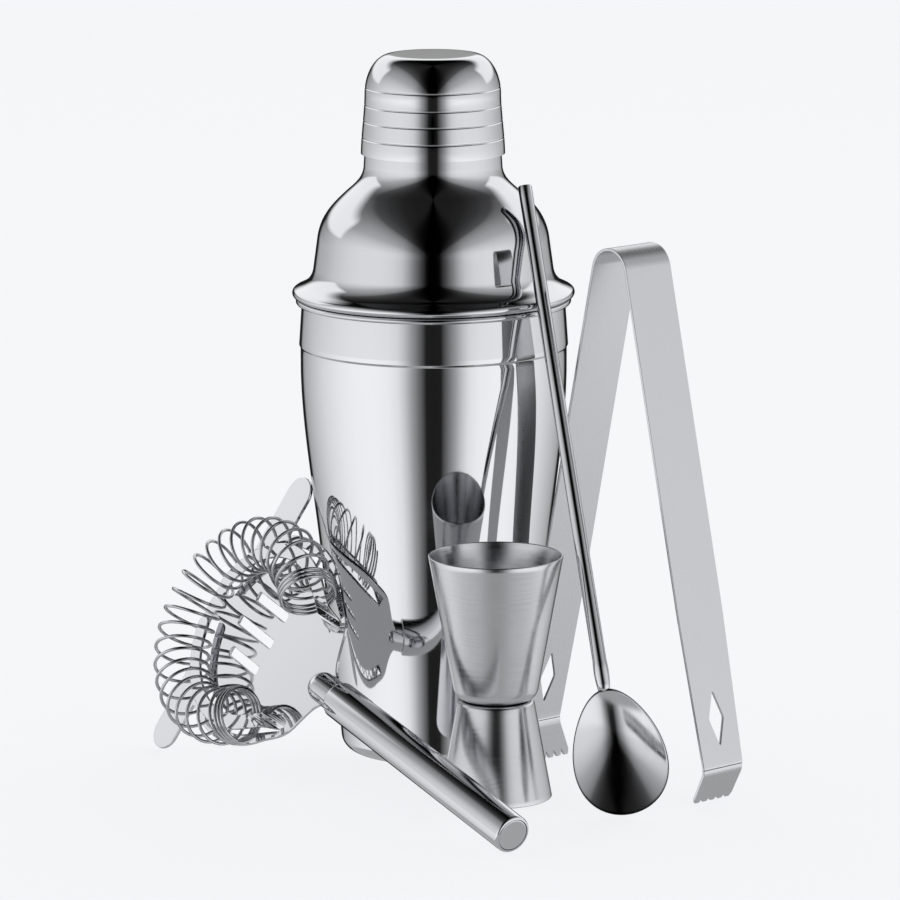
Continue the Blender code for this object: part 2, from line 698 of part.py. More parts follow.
def front_outline(floor):
    """The strip seen from the front: parallel, then narrowing to a row of rounded teeth."""
    half, tip = STRIP_W / 2, STRIP_TIP_W / 2
    pitch = 2 * tip / TEETH
    teeth = []
    for i in range(TEETH):
        left = -tip + i * pitch
        start, flank = TOOTH_FOOT * pitch, (TOOTH_FOOT + TOOTH_SIDE) * pitch
        teeth += [(left + start, floor + TOOTH_H), (left + flank, floor),
                  (left + pitch - flank, floor), (left + pitch - start, floor + TOOTH_H)]
    teeth[0] = (-tip, floor + TOOTH_H)
    teeth[-1] = (tip, floor + TOOTH_H)
    # The narrowing line runs on past the strip's edge, so that the cut has no shared face with it.
    over = half + STRIP_T
    waist = floor + TOOTH_H + (STRIP_WAIST_Z - TOOTH_H) * (over - tip) / (half - tip)
    top = BOW_R  # well over the arm's upper end
    return teeth + [(over, waist), (over, top), (-over, top), (-over, waist)]


def diamond(floor):
    z = floor + DIAMOND_Z
    return [(0, z + DIAMOND_H / 2), (DIAMOND_W / 2, z), (0, z - DIAMOND_H / 2), (-DIAMOND_W / 2, z)]


clear_scene()
PARTS = collection("cocktail_shaker_set")
CUTTERS = collection("cutters")
POLISHED = steel("polished_stainless", 0.78, 0.06)
BRUSHED = steel("brushed_stainless", 0.70, 0.28)
# The plate's own Z is out of its face and its own X runs to the handle.
SIDEWAYS = Vector(FACE_WAY).cross(Vector(HANDLE_WAY))
PLATE_AT = round_axis(PLATE_ROUND, radius_at(body_path(), PLATE_LEANS_Z) + PLATE_OUT, PLATE_UP)
STRAINER = helper("hawthorne_place", facing(PLATE_AT, FACE_WAY, SIDEWAYS))
JIGGER_AT = round_axis(JIGGER_ROUND, FLANGE_R + JIGGER_GAP + LARGE_R)
JIGGER = helper("jigger_place", at(JIGGER_AT))
SPOON_NECK = round_axis(SPOON_ROUND, FLANGE_R + SPOON_OUT, SPOON_UP)
ROD_LEANS = round_axis(LEAN_ROUND, FLANGE_R + SPOON_R + FIT, SHAKER_TOP_Z + FLANGE_H / 2)
SPOON_AXIS = helper("spoon_place", facing(SPOON_NECK, ROD_LEANS - SPOON_NECK, (0, 1, 0)))
SPOON_BOWL = helper("bowl_place", facing(SPOON_NECK, -Vector(BOWL_WAY), -Vector(BOWL_FACE)))
TONGS_AT = round_axis(TONGS_ROUND, SHOULDER_R + TONGS_OUT)
TONGS = helper("tongs_place", at(TONGS_AT) @ Matrix.Rotation(math.radians(TONGS_TURN), 4, "Z"))
make_tumbler()
make_strainer_top()
make_cap()
make_plate()
make_spring()
make_handle()
make_jigger()
make_spoon()
make_tongs()
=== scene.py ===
# A stainless steel cocktail set as it stands on a counter: a three-piece shaker with a spring
# strainer, a double jigger, a bar spoon and ice tongs leaning on it. Sizes are in millimetres.
import math

import bmesh
import bpy
from mathutils import Matrix, Vector


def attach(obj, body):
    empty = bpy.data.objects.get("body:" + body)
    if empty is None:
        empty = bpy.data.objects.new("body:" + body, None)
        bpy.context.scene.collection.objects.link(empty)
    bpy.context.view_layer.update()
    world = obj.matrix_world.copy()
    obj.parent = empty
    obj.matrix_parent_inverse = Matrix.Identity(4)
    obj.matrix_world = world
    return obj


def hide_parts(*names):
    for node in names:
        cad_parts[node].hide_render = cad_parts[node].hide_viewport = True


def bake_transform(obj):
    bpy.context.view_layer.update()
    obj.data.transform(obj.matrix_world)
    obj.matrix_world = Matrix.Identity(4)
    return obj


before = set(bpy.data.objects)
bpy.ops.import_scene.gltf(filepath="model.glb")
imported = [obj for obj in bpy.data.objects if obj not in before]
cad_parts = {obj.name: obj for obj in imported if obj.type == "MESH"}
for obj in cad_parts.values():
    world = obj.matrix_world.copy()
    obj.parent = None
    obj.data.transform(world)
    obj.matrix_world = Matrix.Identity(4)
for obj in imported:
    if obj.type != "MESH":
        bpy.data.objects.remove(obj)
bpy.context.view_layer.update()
mm = 0.001

# Colours, nodes and steel finishes


def toLinear(hexColour):
    # sRGB hex to the linear numbers that shaders take
    shares = [int(hexColour[i:i + 2], 16) / 255 for i in (1, 3, 5)]
    return [c / 12.92 if c <= 0.04045 else ((c + 0.055) / 1.055) ** 2.4 for c in shares] + [1]


def addNode(tree, kind, settings=None, values=None):
    # one node with its settings, and each input given as a number or as the socket that feeds it
    node = tree.nodes.new(kind)
    for name, value in (settings or {}).items():
        setattr(node, name, value)
    for name, value in (values or {}).items():
        if isinstance(value, bpy.types.NodeSocket):
            tree.links.new(value, node.inputs[name])
        else:
            node.inputs[name].default_value = value
    return node


def mathIn(tree):
    # a short call for this tree's math nodes
    return lambda operation, a, b=0.0: addNode(
        tree, "ShaderNodeMath", {"operation": operation}, {0: a, 1: b}).outputs[0]


def steelFinish(name, look):
    # Stainless steel: one grey, a roughness that wanders, and a grain pressed into the surface.
    material = bpy.data.materials.new(name)
    material.use_nodes = True
    tree = material.node_tree
    tree.nodes.clear()
    place = addNode(tree, "ShaderNodeTexCoord").outputs[look["coordinates"]]
    turned = addNode(tree, "ShaderNodeMapping", None, {
        "Vector": place, "Location": look.get("centre", (0, 0, 0)), "Scale": look["grainScale"]})
    grain = addNode(tree, "ShaderNodeTexNoise", None, {
        "Vector": turned.outputs[0], "Scale": 1.0, "Detail": 3.0, "Roughness": 0.65})
    wear = addNode(tree, "ShaderNodeTexNoise", None, {
        "Vector": place, "Scale": look["wearScale"], "Detail": 4.0})
    mixed = addNode(tree, "ShaderNodeMix", {"data_type": "FLOAT"}, {
        0: 0.4, 2: grain.outputs["Fac"], 3: wear.outputs["Fac"]})
    roughness = addNode(tree, "ShaderNodeMapRange", None, {
        "Value": mixed.outputs[0], "From Min": 0.35, "From Max": 0.65,
        "To Min": look["roughness"][0], "To Max": look["roughness"][1]})
    bump = addNode(tree, "ShaderNodeBump", None, {
        "Height": grain.outputs["Fac"], "Strength": look["grainStrength"],
        "Distance": look["grainDepth"] * mm})
    shader = addNode(tree, "ShaderNodeBsdfPrincipled", None, {
        "Base Color": toLinear(look["colour"]), "Metallic": 1.0,
        "Roughness": roughness.outputs[0], "Normal": bump.outputs[0]})
    addNode(tree, "ShaderNodeOutputMaterial", None, {"Surface": shader.outputs[0]})
    return material


steels = {
    # Deep-drawn sheet buffed on a wheel: a mirror, with faint haze where the wheel lifted.
    "mirrorSteel": {"colour": "#d5d6d9", "coordinates": "Object", "grainScale": (60, 60, 900),
                    "wearScale": 70, "roughness": (0.025, 0.06), "grainStrength": 0.02,
                    "grainDepth": 0.05},
    # Hard-drawn wire: bright, with fine die lines.
    "wireSteel": {"colour": "#c4c5c8", "coordinates": "Object", "grainScale": (900, 900, 900),
                  "wearScale": 300, "roughness": (0.1, 0.18), "grainStrength": 0.05,
                  "grainDepth": 0.05},
    # Brushed round on a lathe. Belt lines of 0.05 mm are drawn about 0.6 mm apart, to show.
    "latheSteel": {"colour": "#cfd0d3", "coordinates": "Object", "grainScale": (12, 12, 1600),
                   "wearScale": 90, "roughness": (0.16, 0.26), "grainStrength": 0.16,
                   "grainDepth": 0.06},
    # Strip ground along its length and tumbled: an even satin with fine lengthwise lines.
    "satinSteel": {"colour": "#d2d3d6", "coordinates": "UV", "grainScale": (900, 9, 1),
                   "wearScale": 60, "roughness": (0.24, 0.34), "grainStrength": 0.12,
                   "grainDepth": 0.05},
    # Turned rod and pressed bowl, lightly polished: soft-edged reflections.
    "barSteel": {"colour": "#cfd0d3", "coordinates": "Object", "grainScale": (500, 500, 60),
                 "wearScale": 120, "roughness": (0.08, 0.16), "grainStrength": 0.05,
                 "grainDepth": 0.05},
}
finishes = {name: steelFinish(name, look) for name, look in steels.items()}
print("finishes made")

# Outlines as lists of (across, up), and meshes from them


def arcPoints(centre, radius, start, end, count):
    turns = [math.radians(start + (end - start) * i / (count - 1)) for i in range(count)]
    return [(centre[0] + radius * math.cos(a), centre[1] + radius * math.sin(a)) for a in turns]


def bezierPoints(a, b, c, d, count, skipFirst=True):
    found = []
    for i in range(int(skipFirst), count):
        t = i / (count - 1)
        shares = ((1 - t) ** 3, 3 * t * (1 - t) ** 2, 3 * t * t * (1 - t), t ** 3)
        found.append(tuple(sum(s * p[k] for s, p in zip(shares, (a, b, c, d))) for k in (0, 1)))
    return found


def offsetPath(path, distance):
    # the path moved to its right, each point along its mean normal
    moved = []
    for i, point in enumerate(path):
        before, after = Vector(path[max(i - 1, 0)]), Vector(path[min(i + 1, len(path) - 1)])
        along = (after - before).normalized()
        moved.append((point[0] + along.y * distance, point[1] - along.x * distance))
    return moved


def evenPath(path, step):
    # the same path with a point about every step, so that long runs shade evenly
    fine = [path[0]]
    for start, end in zip(path, path[1:]):
        pieces = max(1, round(math.dist(start, end) / step))
        fine += [tuple(a + (b - a) * i / pieces for a, b in zip(start, end))
                 for i in range(1, pieces + 1)]
    return fine


def newPiece(name, mesh, finish, place=None, sharp=30):
    if place is not None:
        mesh.transform(place)
    mesh.materials.clear()
    mesh.materials.append(finishes[finish])
    mesh.shade_smooth()
    mesh.set_sharp_from_angle(angle=math.radians(sharp))
    piece = bpy.data.objects.new(name, mesh)
    bpy.context.scene.collection.objects.link(piece)
    return piece


def turnedMesh(name, profile, steps=160, step=1.5):
    # A closed turned shell: the profile starts and ends on the axis and runs down its outer side.
    work = bmesh.new()
    rings = []
    for radius, height in evenPath(profile, step):
        if radius < 1e-6:
            rings.append([work.verts.new((0, 0, height * mm))])
            continue
        turns = [math.tau * i / steps for i in range(steps)]
        rings.append([work.verts.new((radius * mm * math.cos(a), radius * mm * math.sin(a),
                                      height * mm)) for a in turns])
    for upper, lower in zip(rings, rings[1:]):
        for i in range(steps):
            corners = []
            for vert in (upper[i % len(upper)], lower[i % len(lower)],
                         lower[(i + 1) % len(lower)], upper[(i + 1) % len(upper)]):
                if vert not in corners:
                    corners.append(vert)
            if len(corners) > 2:
                work.faces.new(corners)
    bmesh.ops.recalc_face_normals(work, faces=work.faces)
    mesh = bpy.data.meshes.new(name)
    work.to_mesh(mesh)
    work.free()
    return mesh


def sheetMesh(name, outline, thickness, edge, holes=()):
    # A flat blank with its edges broken: a filled outline with a small round at each edge.
    curve = bpy.data.curves.new(name, "CURVE")
    curve.dimensions = "2D"
    curve.fill_mode = "BOTH"
    curve.extrude = (thickness / 2 - edge) * mm
    curve.bevel_depth = edge * mm
    curve.bevel_resolution = 2
    curve.offset = -edge * mm
    for loop in (outline, *holes):
        spline = curve.splines.new("POLY")
        spline.points.add(len(loop) - 1)
        for point, (x, y) in zip(spline.points, loop):
            point.co = (x * mm, y * mm, 0, 1)
        spline.use_cyclic_u = True
    source = bpy.data.objects.new(name, curve)
    bpy.context.scene.collection.objects.link(source)
    bpy.context.view_layer.update()
    graph = bpy.context.evaluated_depsgraph_get()
    mesh = bpy.data.meshes.new_from_object(source.evaluated_get(graph))
    bpy.data.objects.remove(source)
    work = bmesh.new()
    work.from_mesh(mesh)
    bmesh.ops.remove_doubles(work, verts=work.verts, dist=1e-6)
    bmesh.ops.recalc_face_normals(work, faces=work.faces)
    work.to_mesh(mesh)
    work.free()
    return mesh


def facing(point, zWay, yWay):
    # a frame at a point, its Z along zWay and its Y as near yWay as it can be
    z = Vector(zWay).normalized()
    x = Vector(yWay).cross(z).normalized()
    turn = Matrix((x, z.cross(x), z)).transposed().to_4x4()
    return Matrix.Translation(Vector(point) * mm) @ turn


def roundAxis(degrees, radius, up=0.0):
    angle = math.radians(degrees)
    return Vector((radius * math.cos(angle), radius * math.sin(angle), up))


def setInput(modifier, tree, name, value):
    # a modifier's input goes by its socket's identifier
    for item in tree.interface.items_tree:
        if item.name == name and item.in_out == "INPUT":
            modifier[item.identifier] = value


def bakedMesh(name, base, tree, inputs):
    # runs a node tree on a mesh once and gives back the plain mesh
    source = bpy.data.objects.new(name, base)
    bpy.context.scene.collection.objects.link(source)
    modifier = source.modifiers.new("shape", "NODES")
    modifier.node_group = tree
    for key, value in inputs.items():
        setInput(modifier, tree, key, value)
    bpy.context.view_layer.update()
    graph = bpy.context.evaluated_depsgraph_get()
    mesh = bpy.data.meshes.new_from_object(source.evaluated_get(graph))
    source.modifiers.remove(modifier)
    bpy.data.objects.remove(source)
    mesh.name = name
    return mesh


def newTree(name, inputs):
    # a geometry tree with its named size inputs, and its input and output nodes
    tree = bpy.data.node_groups.new(name, "GeometryNodeTree")
    tree.interface.new_socket("Geometry", in_out="INPUT", socket_type="NodeSocketGeometry")
    for key, kind in inputs.items():
        tree.interface.new_socket(key, in_out="INPUT", socket_type=kind)
    tree.interface.new_socket("Geometry", in_out="OUTPUT", socket_type="NodeSocketGeometry")
    return tree, addNode(tree, "NodeGroupInput")


def endTree(tree, geometry, finish):
    real = addNode(tree, "GeometryNodeRealizeInstances", None, {0: geometry})
    painted = addNode(tree, "GeometryNodeSetMaterial", None, {
        "Geometry": real.outputs[0], "Material": finishes[finish]})
    addNode(tree, "NodeGroupOutput", None, {0: painted.outputs[0]})


# The shaker

tumbler = {
    "sheet": 0.7,
    "baseR": 31.0, "baseCorner": 5.0, "baseLean": 4,
    "waistZ": 65.0, "waistR": 37.3, "waistPull": (2.1, 21.0),
    "shoulderZ": 127.0, "shoulderR": 43.6, "shoulderPull": (0.4, 21.0),
    "bandZ": 135.5, "bandStep": 0.45, "bandEase": 0.7, "bandRound": (0.25, -0.1, -0.2),
    "bandTaper": 0.9,
    "lipZ": 151.0, "lipH": 1.9, "lipOut": 1.9, "lipEdge": 0.3,
}
fit = 0.3  # gap between pieces that touch
mouthR = tumbler["shoulderR"] + tumbler["bandStep"] - tumbler["bandTaper"]
lipInR = mouthR - tumbler["sheet"]
topZ = tumbler["lipZ"] + fit


def tumblerProfile(t):
    roll = t["lipH"] / 2
    lip = arcPoints((mouthR + t["lipOut"] - roll, t["lipZ"] - roll), roll, 90, -90, 17)
    bandR = t["shoulderR"] + t["bandStep"]
    heights = [t["bandZ"] + up for up in t["bandRound"]]
    body = [(mouthR, t["lipZ"] - t["lipH"]), (bandR, heights[0])]
    body += bezierPoints(body[-1], (bandR, heights[1]), (t["shoulderR"], heights[2]),
                         (t["shoulderR"], t["bandZ"] - t["bandEase"]), 6)
    pull, ease = t["shoulderPull"], t["waistPull"]
    body += bezierPoints((t["shoulderR"], t["shoulderZ"]),
                         (t["shoulderR"] - pull[0], t["shoulderZ"] - pull[1]),
                         (t["waistR"] + ease[0], t["waistZ"] + ease[1]),
                         (t["waistR"], t["waistZ"]), 40, False)
    body += arcPoints((t["baseR"] - t["baseCorner"], t["baseCorner"]), t["baseCorner"],
                      -t["baseLean"], -90, 20)
    inside = offsetPath(body, t["sheet"])[1:]
    edge = arcPoints((lipInR + t["lipEdge"], t["lipZ"] - t["lipEdge"]), t["lipEdge"], 180, 90, 6)
    return [(0, t["sheet"])] + inside[::-1] + edge + lip + body + [(0, 0)]


strainerTop = {
    "flangeR": 46.2, "flangeH": 3.0, "hip": (1.0, 0.6), "hipPull": (2.5, 1.2), "hipTurn": 66,
    "skirtH": 12.0, "skirtEdge": 0.3, "skirtRoll": 0.35, "skirtTop": 2.0,
    "domeFootR": 39.2, "domeFootUp": 9.8, "domeFlare": (0.3, 3.0),
    "domeR": 38.0, "domeUp": 18.5, "domePull": (0.7, 7.5),
    "turnR": 28.6, "turnUp": 34.4, "turnPull": (4.8, 4.4), "filletPull": (2.6, 2.4),
    "neckR": 22.6, "neckFootUp": 43.5, "neckH": 16.0, "neckTaper": 0.9, "neckPull": 4.5,
    "sieveCorner": 1.6, "holeD": 3.0, "holePitch": 6.2, "holeRings": 2,
}
neckFootZ = topZ + strainerTop["neckFootUp"]
sieveZ = neckFootZ + strainerTop["neckH"]


def strainerTopProfile(t, sheet):
    turn = (t["turnR"], topZ + t["turnUp"])
    dome = (t["domeR"], topZ + t["domeUp"])
    foot = (t["domeFootR"], topZ + t["domeFootUp"])
    corner = (t["neckR"] - t["neckTaper"] - t["sieveCorner"], sieveZ - t["sieveCorner"])
    outer = arcPoints(corner, t["sieveCorner"], 90, 0, 10)
    outer += bezierPoints((t["neckR"], neckFootZ), (t["neckR"], neckFootZ - t["neckPull"]),
                          (turn[0] - t["filletPull"][0], turn[1] + t["filletPull"][1]),
                          turn, 18, False)
    outer += bezierPoints(turn, (turn[0] + t["turnPull"][0], turn[1] - t["turnPull"][1]),
                          (dome[0] - t["domePull"][0], dome[1] + t["domePull"][1]), dome, 22)
    outer.append(foot)
    inner = offsetPath(outer, sheet)
    edge = t["flangeH"] / 2
    hip = (t["flangeR"] - edge - t["hip"][0], topZ + t["flangeH"] + t["hip"][1])
    flange = bezierPoints(foot, (foot[0] + t["domeFlare"][0], foot[1] - t["domeFlare"][1]),
                          (hip[0] - t["hipPull"][0], hip[1] + t["hipPull"][1]), hip, 14)
    flange += arcPoints((t["flangeR"] - edge, topZ + edge), edge, t["hipTurn"], -90, 18)
    skirtR, low, roll = lipInR - fit, topZ - t["skirtH"] + t["skirtEdge"], t["skirtRoll"]
    skirt = [(skirtR + t["skirtEdge"], topZ), (skirtR, topZ - t["skirtEdge"]), (skirtR, low)]
    skirt += arcPoints((skirtR - roll, low), roll, 0, -180, 9)[1:]
    skirt.append((skirtR - sheet, topZ + t["skirtTop"]))
    return [(0, sieveZ)] + outer + flange + skirt + inner[::-1] + [(0, sieveZ - sheet)]


def sieveTree(rings):
    # punches a middle hole and rings of six more each time through the top of the neck
    tree, given = newTree("punchedSieve", {
        "Hole Diameter": "NodeSocketFloat", "Hole Pitch": "NodeSocketFloat",
        "Sieve Height": "NodeSocketFloat", "Punch Length": "NodeSocketFloat"})
    calc = mathIn(tree)
    radius = calc("MULTIPLY", given.outputs["Hole Diameter"], 0.5)
    punch = addNode(tree, "GeometryNodeMeshCylinder", None, {
        "Vertices": 20, "Radius": radius, "Depth": given.outputs["Punch Length"]})
    spots = addNode(tree, "GeometryNodeJoinGeometry")
    middle = addNode(tree, "GeometryNodeMeshLine", {"mode": "OFFSET"}, {"Count": 1})
    tree.links.new(middle.outputs[0], spots.inputs[0])
    for ring in range(1, rings + 1):
        reach = calc("MULTIPLY", given.outputs["Hole Pitch"], float(ring))
        circle = addNode(tree, "GeometryNodeMeshCircle", None, {
            "Vertices": 6 * ring, "Radius": reach})
        tree.links.new(circle.outputs[0], spots.inputs[0])
    up = addNode(tree, "ShaderNodeCombineXYZ", None, {"Z": given.outputs["Sieve Height"]})
    lifted = addNode(tree, "GeometryNodeTransform", None, {
        "Geometry": spots.outputs[0], "Translation": up.outputs[0]})
    punches = addNode(tree, "GeometryNodeInstanceOnPoints", None, {
        "Points": lifted.outputs[0], "Instance": punch.outputs["Mesh"]})
    cutters = addNode(tree, "GeometryNodeRealizeInstances", None, {0: punches.outputs[0]})
    cut = addNode(tree, "GeometryNodeMeshBoolean", {"operation": "DIFFERENCE"}, {
        "Mesh 1": given.outputs["Geometry"], "Mesh 2": cutters.outputs[0]})
    endTree(tree, cut.outputs[0], "mirrorSteel")
    return tree


cap = {
    "sheet": 0.6, "footUp": 3.7, "height": 32.3, "taper": 1.3, "wallPull": 5.0,
    "cornerIn": 8.5, "cornerDown": 13.0,
    "groovesUp": (5.2, 10.7, 15.9, 21.6), "grooveDepth": 0.2, "grooveHalf": 0.36,
}


def capProfile(c):
    foot = neckFootZ + c["footUp"]
    footR = strainerTop["neckR"] + fit + c["sheet"]
    top, topR = foot + c["height"], footR - c["taper"]
    wallTop = top - c["cornerDown"]
    corner = [(topR - c["cornerIn"] + r, wallTop + z * c["cornerDown"] / c["cornerIn"])
              for r, z in arcPoints((0, 0), c["cornerIn"], 90, 0, 40)]  # a tall quarter ellipse
    side = corner + bezierPoints((topR, wallTop), (topR, wallTop - c["wallPull"]),
                                 (footR, foot + c["wallPull"]), (footR, foot), 60)
    inner = offsetPath(side, c["sheet"])
    lines = [foot + up for up in c["groovesUp"]]
    outer = [p for p in side if all(abs(p[1] - z) > c["grooveHalf"] for z in lines)]
    for z in lines:
        for i in range(-6, 7):  # each engraved line is a shallow round-bottomed cut
            depth = c["grooveDepth"] * (0.5 + 0.5 * math.cos(math.pi * i / 6))
            height = z + i / 6 * c["grooveHalf"]
            outer.append((radiusAt(side, height) - depth, height))
    outer.sort(key=lambda point: -point[1])
    return [(0, top)] + outer + inner[::-1] + [(0, top - c["sheet"])]


def radiusAt(side, z):
    for (r1, z1), (r2, z2) in zip(side, side[1:]):
        if z2 <= z <= z1:
            return r1 + (r2 - r1) * (z1 - z) / (z1 - z2)
    return side[-1][0]


def makeShaker():
    body = newPiece("tumblerShell", turnedMesh("tumblerShell", tumblerProfile(tumbler)),
                    "mirrorSteel")
    top = turnedMesh("sieveTop", strainerTopProfile(strainerTop, tumbler["sheet"]))
    top = bakedMesh("sieveTop", top, sieveTree(strainerTop["holeRings"]), {
        "Hole Diameter": strainerTop["holeD"] * mm, "Hole Pitch": strainerTop["holePitch"] * mm,
        "Sieve Height": sieveZ * mm, "Punch Length": 4 * tumbler["sheet"] * mm})
    top = newPiece("sieveTop", top, "mirrorSteel")
    lid = newPiece("cappedLid", turnedMesh("cappedLid", capProfile(cap), 160, 1.0), "mirrorSteel")
    for piece, node, bodyName in ((body, "tumbler", "shaker"), (top, "strainer_top", "top"),
                                  (lid, "cap", "cap")):
        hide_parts(node)
        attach(piece, bodyName)


makeShaker()
print("shaker made")

# The spring strainer, drawn flat: X to the handle, Y along the ears, Z out of its spring side

plate = {
    "out": 20.57, "round": 197.81, "up": 40.1,
    "handleWay": (0.510, -0.833, -0.215), "faceWay": (-0.706, -0.548, 0.448),
    "radius": 36.2, "thickness": 1.2, "edge": 0.25,
    "tabCorner": (35.0, 17.2), "tabEnd": (44.4, 4.6), "tabPulls": ((-4.6, 0.6), (3.2, -8.0)),
    "tabRoundPull": (-2.4, 5.6), "tabRound": 50,
    "earX": -22.8, "earW": 12.2, "earReach": 51.1, "earFillet": 3.0,
    "slotW": 3.2, "slotPitch": 10.0, "slotBack": 4.7, "slotLengths": (18.0, 22.0, 19.5),
    "slotCorner": 0.9,
}
spring = {
    "wire": 1.1, "coilR": 8.9, "ringR": 29.6, "arc": 119.0, "run": 8.2, "openTurns": 23,
    "closedTurns": 3, "closedStep": 1.6, "pointsPerTurn": 32, "wireSides": 12,
}
arcLength = spring["ringR"] * math.radians(spring["arc"])
coilEnd = arcLength + spring["run"]
fingers = {
    "width": 5.0, "thickness": 1.0, "edge": 0.3, "up": 4.2,
    "tip": 6.5, "bend": coilEnd + 2.5, "root": coilEnd + 8.5, "tipGap": 1.5, "rootOver": 0.5,
}
handle = {
    "rodR": 5.1, "rodUp": 4.15, "dip": 3.4, "rodStart": 35.4, "rodInTube": 16.0,
    "tubeStart": 49.5, "tubeEnd": 149.4, "tubeR": 6.15, "tubeEdge": 0.9, "tubeLip": 0.2,
    "boreGap": 0.1, "plugH": 6.0, "plugEdge": 0.4,
}
sideways = Vector(plate["faceWay"]).cross(Vector(plate["handleWay"]))
platePlace = facing(roundAxis(plate["round"], tumbler["waistR"] + plate["out"], plate["up"]),
                    plate["faceWay"], sideways)


def onRim(degrees):
    # a point of the plate's round rim, this far round from the handle towards the +Y ear
    angle = math.radians(degrees)
    return (plate["radius"] * math.cos(angle), plate["radius"] * math.sin(angle))


def onPath(run, out=0.0):
    # a point by the coil's path, this far along it from the front towards the +Y ear
    turn = min(abs(run), arcLength) / spring["ringR"]
    over = max(abs(run) - arcLength, 0.0)
    radius = spring["ringR"] + out
    x = over * math.sin(turn) - radius * math.cos(turn)
    y = over * math.cos(turn) + radius * math.sin(turn)
    return (x, math.copysign(y, run))


def bentBand(side, halfWidth, tip, root, roundRoot):
    # the outline of a band along the coil's path, with a round tip
    count = 60
    runs = [tip + (root - tip) * i / (count - 1) for i in range(count)]
    outline = [onPath(side * run, halfWidth) for run in runs]
    if roundRoot:
        outline += bandEnd(side, halfWidth, root, 1)
    outline += [onPath(side * run, -halfWidth) for run in reversed(runs)]
    return outline + bandEnd(side, halfWidth, tip, -1)


def bandEnd(side, halfWidth, run, way):
    # points of the half circle that closes the band, from its outer or inner corner
    turns = [math.pi * i / 12 for i in range(1, 12)]
    return [onPath(side * (run + halfWidth * math.sin(a) * way), halfWidth * math.cos(a) * way)
            for a in turns]


def runOf(spot):
    # how far along the coil's path a point of the flat plate is
    turn, end = math.atan2(abs(spot.y), -spot.x), math.radians(spring["arc"])
    x, y = onPath(arcLength)
    over = (spot.x / mm - x) * math.sin(end) + (abs(spot.y) / mm - y) * math.cos(end)
    return arcLength + over if over > 0 and spot.x > 0 else min(turn, end) * spring["ringR"]


def straightSlot(row, length):
    corner = plate["slotCorner"]
    start, end = plate["slotBack"] - length + corner, plate["slotBack"] - corner
    rise, y = plate["slotW"] / 2 - corner, row * plate["slotPitch"]
    return (arcPoints((end, y - rise), corner, -90, 0, 8)
            + arcPoints((end, y + rise), corner, 0, 90, 8)
            + arcPoints((start, y + rise), corner, 90, 180, 8)
            + arcPoints((start, y - rise), corner, 180, 270, 8))


def plateOutline(p):
    # half of the plate from the handle round to the front, and its mirror image
    def moved(corner, way):
        return (corner[0] + way[0], corner[1] + way[1])

    radius, half, start = p["radius"], p["earW"] / 2, p["tabRound"]
    inner = math.atan2(math.sqrt(radius ** 2 - (p["earX"] + half) ** 2), p["earX"] + half)
    outer = math.atan2(math.sqrt(radius ** 2 - (p["earX"] - half) ** 2), p["earX"] - half)
    line = bezierPoints(p["tabEnd"], moved(p["tabEnd"], p["tabPulls"][0]),
                        moved(p["tabCorner"], p["tabPulls"][1]), p["tabCorner"], 14, False)
    line += bezierPoints(p["tabCorner"], moved(p["tabCorner"], p["tabRoundPull"]),
                         onRim(start - 6), onRim(start), 8)
    line += arcPoints((0, 0), radius, start + 2, math.degrees(inner) - 3, 30)
    line += bezierPoints(line[-1], onRim(math.degrees(inner)),
                         (p["earX"] + half, radius * math.sin(inner)),
                         (p["earX"] + half, radius * math.sin(inner) + p["earFillet"]), 8)
    line += arcPoints((p["earX"], p["earReach"] - half), half, 0, 180, 24)
    line += arcPoints((0, 0), radius, math.degrees(outer), 179.2, 24)
    return line + [(x, -y) for x, y in line[::-1]]


def makePlate():
    slots = [straightSlot(row, length) for row, length in zip((-1, 0, 1), plate["slotLengths"])]
    slots += [bentBand(side, fingers["width"] / 2 + fit, fingers["tip"], fingers["root"], False)
              for side in (-1, 1)]
    blank = sheetMesh("strainerPlate", plateOutline(plate), plate["thickness"], plate["edge"],
                      slots)
    piece = newPiece("strainerPlate", blank, "mirrorSteel", platePlace, 10)
    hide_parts("hawthorne_plate")
    pieces = [piece]
    for side, name in ((-1, "lowerFinger"), (1, "upperFinger")):
        outline = bentBand(side, fingers["width"] / 2, fingers["tip"] + fingers["tipGap"],
                           fingers["root"] + fingers["rootOver"], True)
        strip = sheetMesh(name, outline, fingers["thickness"], fingers["edge"])
        for vert in strip.vertices:  # the finger rises from its root to run inside the coil
            share = (fingers["root"] - runOf(vert.co)) / (fingers["root"] - fingers["bend"])
            share = min(max(share, 0), 1)
            vert.co.z += fingers["up"] * mm * share * share * (3 - 2 * share)
        pieces.append(newPiece(name, strip, "mirrorSteel", platePlace, 14))
    for piece in pieces:
        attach(piece, "strainer")


